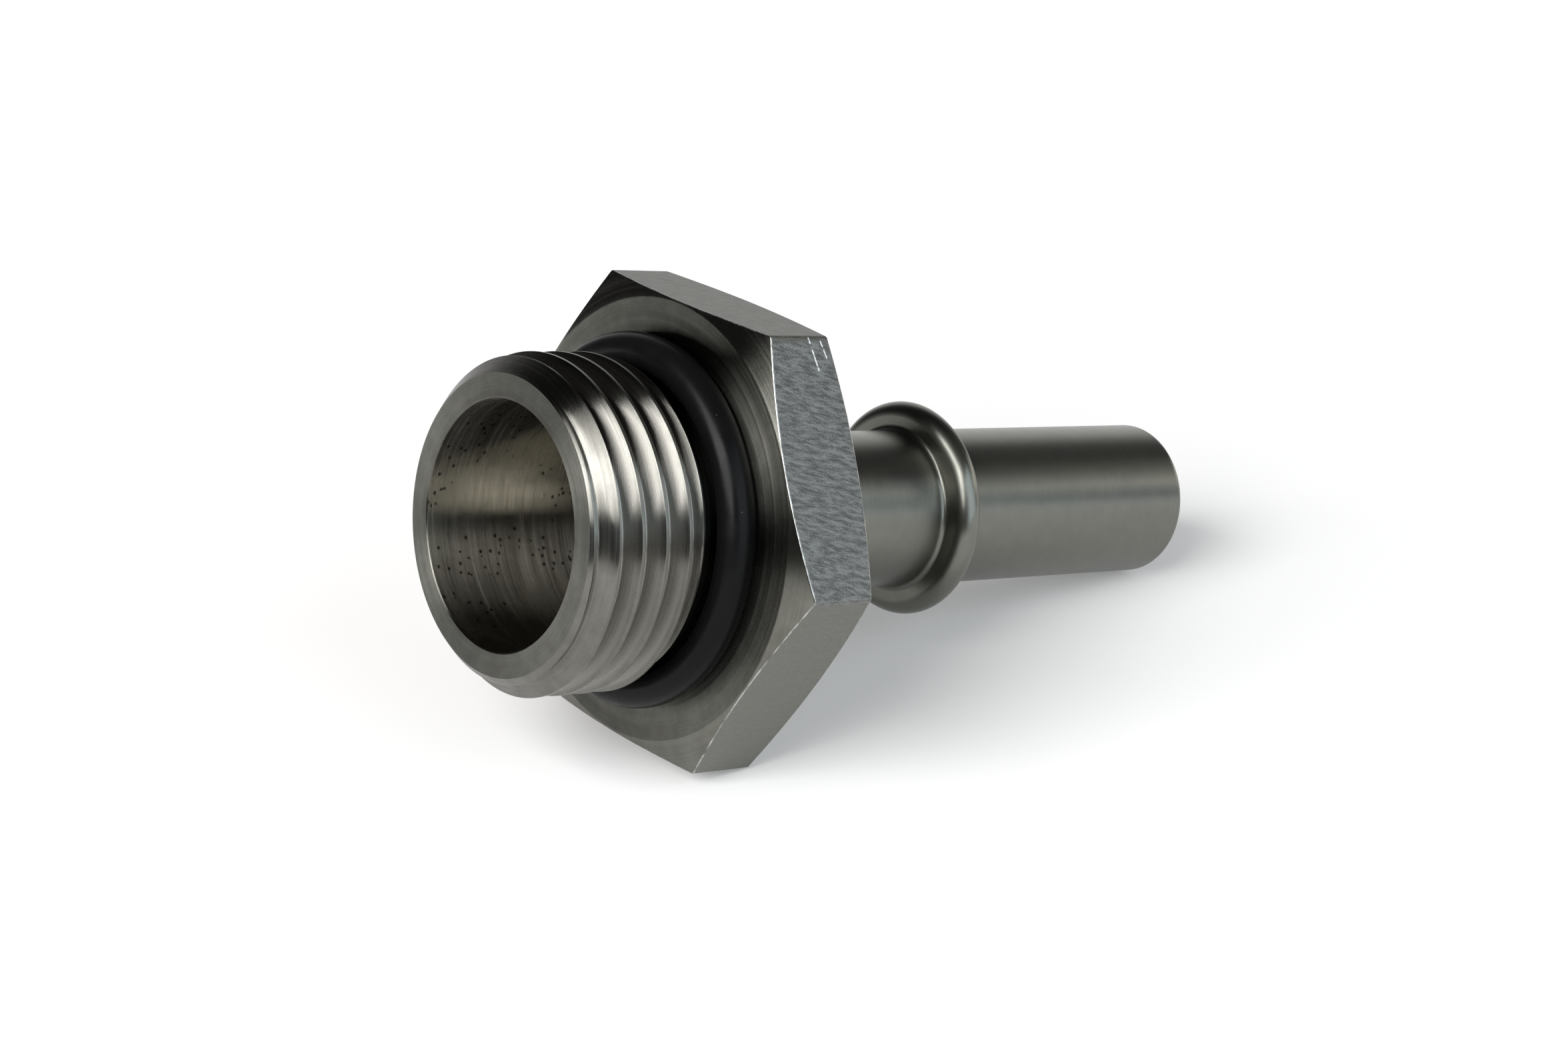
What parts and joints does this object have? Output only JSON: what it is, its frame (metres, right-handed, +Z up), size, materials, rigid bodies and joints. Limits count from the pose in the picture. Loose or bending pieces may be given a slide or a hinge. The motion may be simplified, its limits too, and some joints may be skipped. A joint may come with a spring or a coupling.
{
  "type": "quick connect adapter fitting",
  "caption": "Stainless adapter with a male straight thread, O-ring and hexagon at one end and a beaded quick connect tube at the other, bored right through.",
  "frame": {"origin": "on the surface below the fitting, under the middle of its bounding box, as it lies at rest", "axes": "+X runs level along the fitting from the threaded end to the tube end, +Z is up; the fitting's own axis drops 12.93 degrees towards +X, because it rests on the back edge of a hexagon flat and on the rim of the tube end"},
  "size_m": [0.0519, 0.0294, 0.0259],
  "materials": {
    "machined_stainless": "bare turned stainless steel, satin, with fine tool rings; the hexagon's flats keep the rougher drawn bar skin",
    "black_rubber": "black moulded rubber, satin"
  },
  "bodies": {
    "root": {"fitting_body": "machined_stainless", "o_ring": "black_rubber"}
  },
  "joints": []
}
